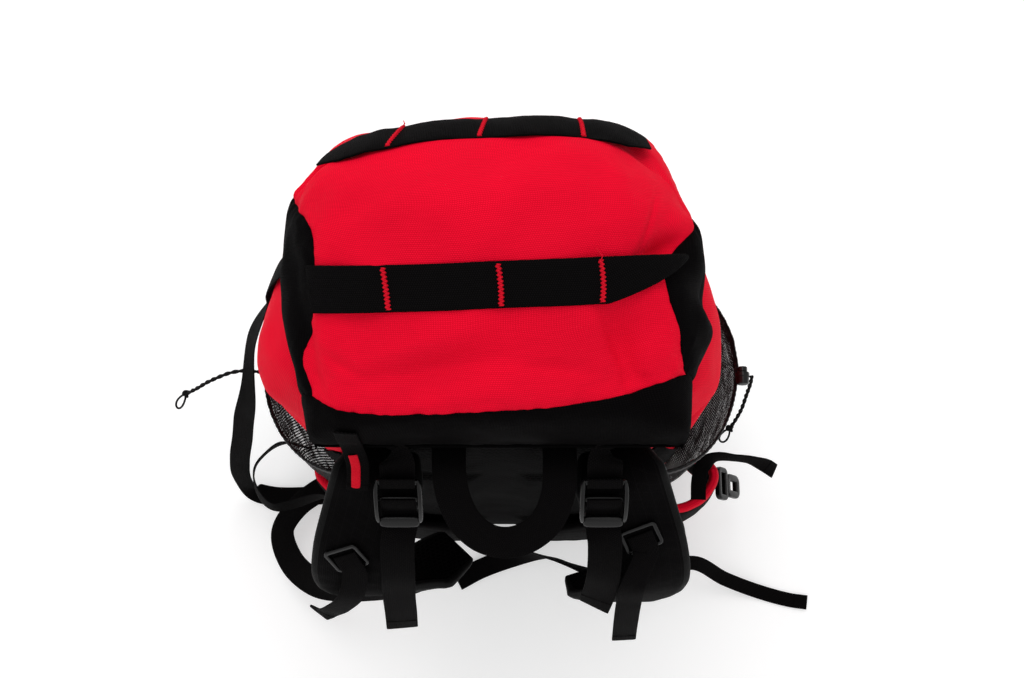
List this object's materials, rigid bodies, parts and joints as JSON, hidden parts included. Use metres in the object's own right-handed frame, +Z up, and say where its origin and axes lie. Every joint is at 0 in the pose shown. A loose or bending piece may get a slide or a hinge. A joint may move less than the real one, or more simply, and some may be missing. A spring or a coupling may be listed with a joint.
{
  "type": "hiking backpack",
  "caption": "Top-loading hiking backpack with a domed lid, mesh side pockets, padded shoulder straps, a hip belt and loose strap ends, standing upright.",
  "frame": {"origin": "on the floor under the middle of the bag, on its base panel", "axes": "+X to the right seen from the harness, +Y from the harness to the front of the bag, +Z up"},
  "size_m": [0.6386, 0.3773, 0.6308],
  "materials": {
    "red_cloth": "coated ripstop weave",
    "black_cloth": "ripstop weave",
    "black_mesh": "knitted mesh",
    "webbing": "ribbed webbing",
    "black_plastic": "satin moulded",
    "elastic": "braided elastic"
  },
  "bodies": {
    "root": {"front_panel": "red_cloth", "side_panel_right": "red_cloth", "side_panel_left": "red_cloth", "lid_top_panel": "red_cloth", "base_panel": "black_cloth", "collar": "black_cloth", "lid_back_band": "black_cloth", "lid_front_band": "black_cloth", "lid_gusset_left": "black_cloth", "lid_gusset_right": "black_cloth", "lid_underside": "black_cloth", "side_tab_left": "black_cloth", "side_tab_right": "black_cloth", "shoulder_pad_left": "black_cloth", "shoulder_pad_right": "black_cloth", "hip_wing_left": "black_cloth", "hip_wing_right": "black_cloth", "back_panel": "black_mesh", "mesh_pocket_left": "black_mesh", "mesh_pocket_right": "black_mesh", "daisy_strip_near": "webbing", "daisy_strip_far": "webbing", "haul_loop": "webbing", "load_lifter_left": "webbing", "load_lifter_right": "webbing", "lifter_tail_left": "webbing", "lifter_tail_right": "webbing", "sternum_strap_left": "webbing", "sternum_strap_right": "webbing", "lower_strap_left": "webbing", "lower_strap_right": "webbing", "floor_strap_right": "webbing", "floor_strap_centre": "webbing", "hip_strap_left": "webbing", "hip_tail_right": "webbing", "lid_strap_left": "webbing", "lid_strap_right": "webbing", "lid_anchor_strap": "webbing", "side_strap_left": "webbing", "ladder_lock_left": "black_plastic", "ladder_lock_right": "black_plastic", "slider_ring_left": "black_plastic", "slider_ring_right": "black_plastic", "hip_buckle_right": "black_plastic", "lid_buckle_left": "black_plastic", "lid_buckle_right": "black_plastic", "cord_lock_right": "black_plastic", "pocket_cord_left": "elastic", "pocket_cord_right": "elastic"}
  },
  "joints": []
}
